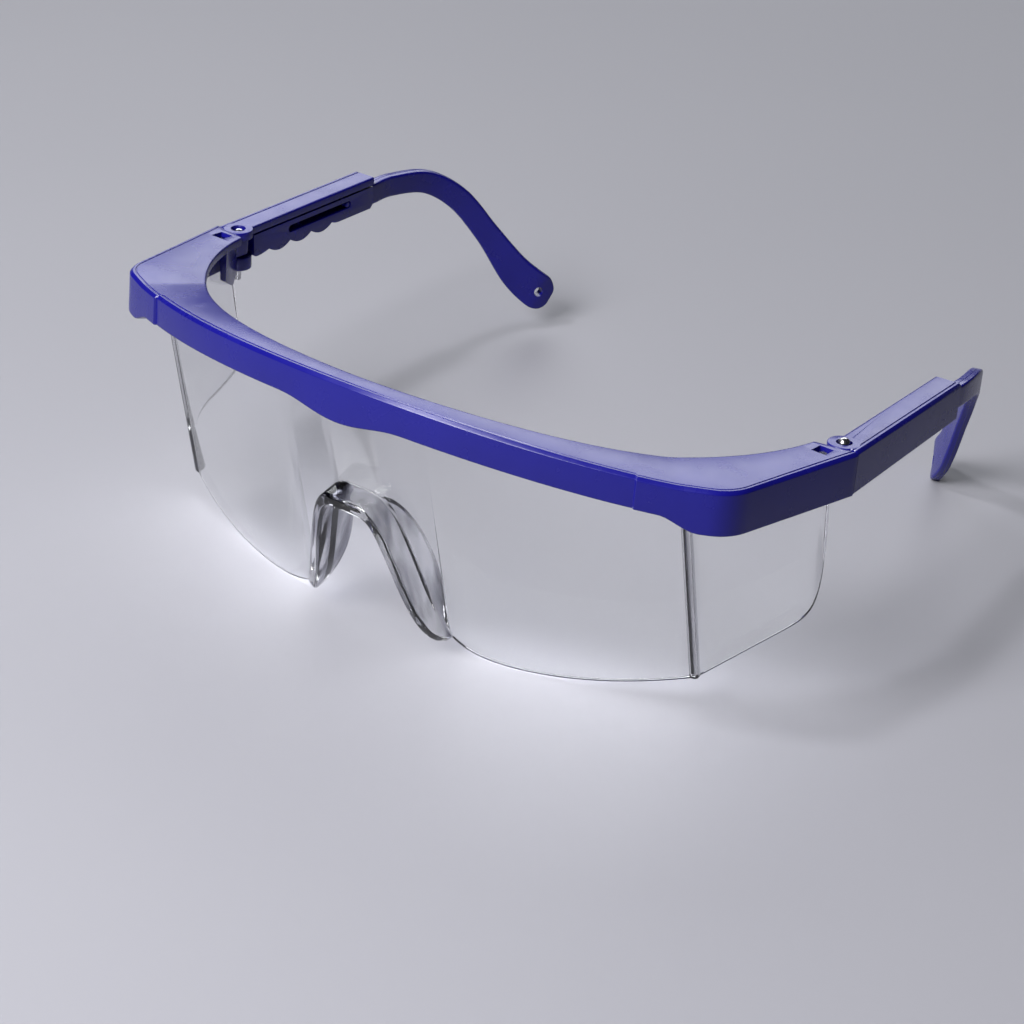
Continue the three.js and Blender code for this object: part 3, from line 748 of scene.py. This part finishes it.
def ramp(tree, source, stops):
    """Source turned into colours, by (value, colour) stops."""
    node = tree.nodes.new("ShaderNodeValToRGB")
    elements = node.color_ramp.elements
    while len(elements) < len(stops):
        elements.new(0.5)
    for element, (place, colour) in zip(elements, stops):
        element.position = place
        element.color = (*colour, 1)
    tree.links.new(source, node.inputs["Fac"])
    return node.outputs["Color"]


def remap(tree, source, low, high):
    """A noise stretched to run from low to high."""
    node = tree.nodes.new("ShaderNodeMapRange")
    node.inputs["From Min"].default_value = NOISE_SPAN[0]
    node.inputs["From Max"].default_value = NOISE_SPAN[1]
    node.inputs["To Min"].default_value = low
    node.inputs["To Max"].default_value = high
    tree.links.new(source, node.inputs["Value"])
    return node.outputs["Result"]


def bump(tree, shader, layers):
    """Fine relief: (height, strength, distance in metres) layers, one on another."""
    normal = None
    for height, strength, distance in layers:
        node = add(tree, "ShaderNodeBump", Strength=strength, Distance=distance)
        tree.links.new(height, node.inputs["Height"])
        if normal:
            tree.links.new(normal, node.inputs["Normal"])
        normal = node.outputs["Normal"]
    tree.links.new(normal, shader.inputs["Normal"])


def blue_plastic():
    material, tree, shader = node_material("blue_plastic", IOR=1.5, Specular_IOR_Level=0.45)
    tone = noise(tree, 45, 4, 0.6)
    colour = ramp(tree, tone, [(0.3, (0.0045, 0.004, 0.165)), (0.7, (0.0065, 0.006, 0.20))])
    tree.links.new(colour, shader.inputs["Base Color"])
    tree.links.new(remap(tree, noise(tree, 220, 3, 0.5), 0.22, 0.29), shader.inputs["Roughness"])
    bump(tree, shader, [
        (noise(tree, 110, 2, 0.4), 0.07, 0.0002),
        (noise(tree, 2600, 2, 0.5), 0.015, 0.00003),
    ])
    return material


def clear_plastic(name, tint, streak, haze, relief, shade):
    """Clear moulded plastic. tint is its colour range, painted shade for the bend and the saddle,
    streak the scale and stretch of its tone, haze its roughness range, relief its bump layers as
    (scale, stretch, strength, metres), and shade what it lets through to a lamp."""
    material, tree, shader = node_material(name, IOR=1.585, Transmission_Weight=1.0)
    # body is the tint, painted shade where it is dark at the bend and the saddle
    body = ramp(tree, noise(tree, streak[0], 2, 0.5, streak[1]), [(0.42, tint[0]), (0.58, tint[1])])
    tree.links.new(body, shader.inputs["Base Color"])
    tree.links.new(remap(tree, noise(tree, 160, 6, 0.7), *haze), shader.inputs["Roughness"])
    bump(tree, shader, [(noise(tree, scale, 2, 0.4, stretch), strength, height)
                        for scale, stretch, strength, height in relief])
    output = tree.nodes["Material Output"]
    path = tree.nodes.new("ShaderNodeLightPath")
    through = tree.nodes.new("ShaderNodeBsdfTransparent")
    through.inputs["Color"].default_value = (*shade, 1)
    mix = tree.nodes.new("ShaderNodeMixShader")
    tree.links.new(path.outputs["Is Shadow Ray"], mix.inputs["Fac"])
    tree.links.new(shader.outputs["BSDF"], mix.inputs[1])
    tree.links.new(through.outputs["BSDF"], mix.inputs[2])
    tree.links.new(mix.outputs["Shader"], output.inputs["Surface"])
    return material


def lens_plastics():
    """The thin sheet, the bend at each crease, grey with painted shade, and the thick nose saddle,
    streaked with painted shade.
    """
    sheet = clear_plastic("clear_sheet", tint=((0.965, 0.97, 0.98), (0.985, 0.988, 0.993)),
                          streak=(30, (1, 1, 0.4)), haze=(0.0, 0.03),
                          relief=[(60, (1, 1, 1), 0.05, 0.0002)], shade=(0.93, 0.935, 0.945))
    # painted shade: the bend's grey tint stands in for the dark lines that refraction draws along each
    # crease
    bend = clear_plastic("bend_painted_shade", tint=((0.42, 0.42, 0.45), (0.62, 0.62, 0.65)),
                         streak=(160, (1, 1, 0.1)), haze=(0.02, 0.06),
                         relief=[(90, (1, 1, 0.05), 0.4, 0.0004)], shade=(0.55, 0.55, 0.57))
    # painted shade: dark streaks in the saddle's tint stand in for the dark bands that refraction
    # shows in it
    thick = clear_plastic("saddle_painted_shade", tint=((0.2, 0.2, 0.24), (0.95, 0.955, 0.965)),
                          streak=(170, (1, 1, 0.18)), haze=(0.01, 0.06),
                          relief=[(190, (1, 1, 0.12), 0.6, 0.0006),
                                  (60, (1, 1, 0.4), 0.4, 0.0006)],
                          shade=(0.75, 0.755, 0.77))
    return sheet, bend, thick


def pin_steel():
    material, tree, shader = node_material("pin_steel", Metallic=1.0)
    tone = noise(tree, 900, 3, 0.5)
    colour = ramp(tree, tone, [(0.35, (0.50, 0.50, 0.52)), (0.7, (0.70, 0.70, 0.71))])
    tree.links.new(colour, shader.inputs["Base Color"])
    haze = noise(tree, 3000, 4, 0.6, (1, 1, 0.15))
    tree.links.new(remap(tree, haze, 0.14, 0.32), shader.inputs["Roughness"])
    bump(tree, shader, [(noise(tree, 4000, 2, 0.5, (1, 1, 0.1)), 0.15, 0.00002)])
    return material


def floor_paper():
    material, tree, shader = node_material("floor_paper", Roughness=0.55, Specular_IOR_Level=0.3)
    tone = noise(tree, 3, 2, 0.5)
    colour = ramp(tree, tone, [(0.3, (0.262, 0.262, 0.296)), (0.7, (0.276, 0.276, 0.31))])
    tree.links.new(colour, shader.inputs["Base Color"])
    bump(tree, shader, [(noise(tree, 900, 2, 0.5), 0.02, 0.0001)])
    return material


# ---------- the glasses ----------

def temple_place(side):
    """From a temple's own axes, about its pin, to the row frame. The right one is mirrored."""
    sign = SIGN[side]
    turn = Matrix.Rotation(REST_LIFT[side], 4, "X") @ Matrix.Rotation(sign * REST_FOLD[side], 4, "Z")
    return (STANCE @ Matrix.Translation((sign * PIN["x"], PIN["y"], PLAY_CENTRE_Z)) @ turn
            @ Matrix.Translation((0, 0, -PLAY_CENTRE_Z)) @ Matrix.Diagonal((sign, 1, 1, 1)))


def in_saddle(point):
    surface = lens_point(point.x, point.z)
    behind = point.y - surface.y
    below = point.z < front_edge(point.x) - PAINT["edge"]
    in_sheet = -PAINT["front"] < behind < LENS_THICK + PAINT["back"]
    return abs(point.x) < SADDLE["half_span"] and (below or not in_sheet)


def in_bend(point):
    surface = lens_point(LENS_CREASE_X, point.z)
    away = Vector((abs(point.x) - surface.x, point.y - surface.y)).length
    return away < LENS_BEND * PAINT["bend"] and point.z < LENS_TOP - PAINT["top"]


def paint_lens(obj, materials):
    """Gives each face of the lens its material: the clear sheet, the bend grey with painted shade, or
    the saddle streaked with painted shade.
    """
    for material in materials[1:]:
        obj.data.materials.append(material)
    back = STANCE.inverted()
    for face in obj.data.polygons:
        point = back @ face.center
        face.material_index = 2 if in_saddle(point) else 1 if in_bend(point) else 0


def glasses():
    plastic, clear, steel = blue_plastic(), lens_plastics(), pin_steel()
    finished(brow_frame(), "brow_shell", "front", "brow_frame", plastic)
    glass = finished(lens(), "clear_lens", "front", "lens", clear[0], angle=60)
    # the lens's bend and saddle materials carry painted shade
    paint_lens(glass, clear)
    for side in ("left", "right"):
        place = temple_place(side)
        at_pin = STANCE @ Matrix.Translation((SIGN[side] * PIN["x"], PIN["y"], 0))
        finished(hinge_pin(side, at_pin), f"pin_{side}", "front", f"hinge_pin_{side}", steel)
        finished(temple_housing(place), f"housing_{side}", f"housing_{side}",
                 f"temple_housing_{side}", plastic)
        finished(temple_arm(place), f"arm_{side}", f"arm_{side}",
                 f"temple_arm_{side}", plastic)


# ---------- setting ----------

def floor():
    half = FLOOR["half"]
    obj = solid("floor", [(-half, -half, 0), (half, -half, 0), (half, half, 0), (-half, half, 0)],
                [(0, 1, 2, 3)], Matrix.Translation((0, 0, -FLOOR["below"])))
    obj.data.materials.append(floor_paper())


def softbox(name, at, towards, width, height, power, colour):
    """A rectangular lamp, in metres and watts, that faces a point."""
    data = bpy.data.lights.new(name, "AREA")
    data.shape = "RECTANGLE"
    data.size, data.size_y = width, height
    data.energy = power
    data.color = colour
    obj = bpy.data.objects.new(name, data)
    bpy.context.scene.collection.objects.link(obj)
    obj.location = at
    obj.rotation_mode = "QUATERNION"
    obj.rotation_quaternion = (Vector(towards) - Vector(at)).to_track_quat("-Z", "Y")


def lights():
    softbox("back_box", (-0.95, 1.2, 0.95), (0, 0.1, 0.03), 1.8, 1.1, 20, (0.95, 0.97, 1.0))
    softbox("key_box", (-0.08, -0.52, 0.5), (0.03, -0.16, 0), 0.4, 0.26, 7.6, (1.0, 0.99, 0.98))
    softbox("spark_box", (-0.3, -0.35, 0.9), (0, -0.06, 0.02), 0.11, 0.09, 3.0, (1.0, 1.0, 1.0))
    world = bpy.data.worlds.new("studio")
    world.use_nodes = True
    world.node_tree.nodes["Background"].inputs["Color"].default_value = (0.55, 0.57, 0.68, 1)
    world.node_tree.nodes["Background"].inputs["Strength"].default_value = 0.04
    bpy.context.scene.world = world
    bpy.context.scene.view_settings.view_transform = "Standard"


def camera():
    data = bpy.data.cameras.new("camera")
    data.sensor_width = CAMERA["sensor"]
    data.lens = CAMERA["lens"]
    data.clip_start, data.clip_end = CAMERA["clip"]
    obj = bpy.data.objects.new("camera", data)
    bpy.context.scene.collection.objects.link(obj)
    azimuth, elevation, roll = (radians(CAMERA[key]) for key in ("azimuth", "elevation", "roll"))
    back = Vector((sin(azimuth) * cos(elevation), -cos(azimuth) * cos(elevation), sin(elevation)))
    right = Vector((cos(azimuth), sin(azimuth), 0))
    up = back.cross(right)
    turned_right = right * cos(roll) + up * sin(roll)
    turned_up = up * cos(roll) - right * sin(roll)
    axes = Matrix((turned_right, turned_up, back)).transposed().to_4x4()
    at = Vector(CAMERA["target"]) + back * CAMERA["distance"]
    obj.matrix_world = Matrix.Translation(at) @ axes
    bpy.context.scene.camera = obj


glasses()
floor()
lights()
camera()
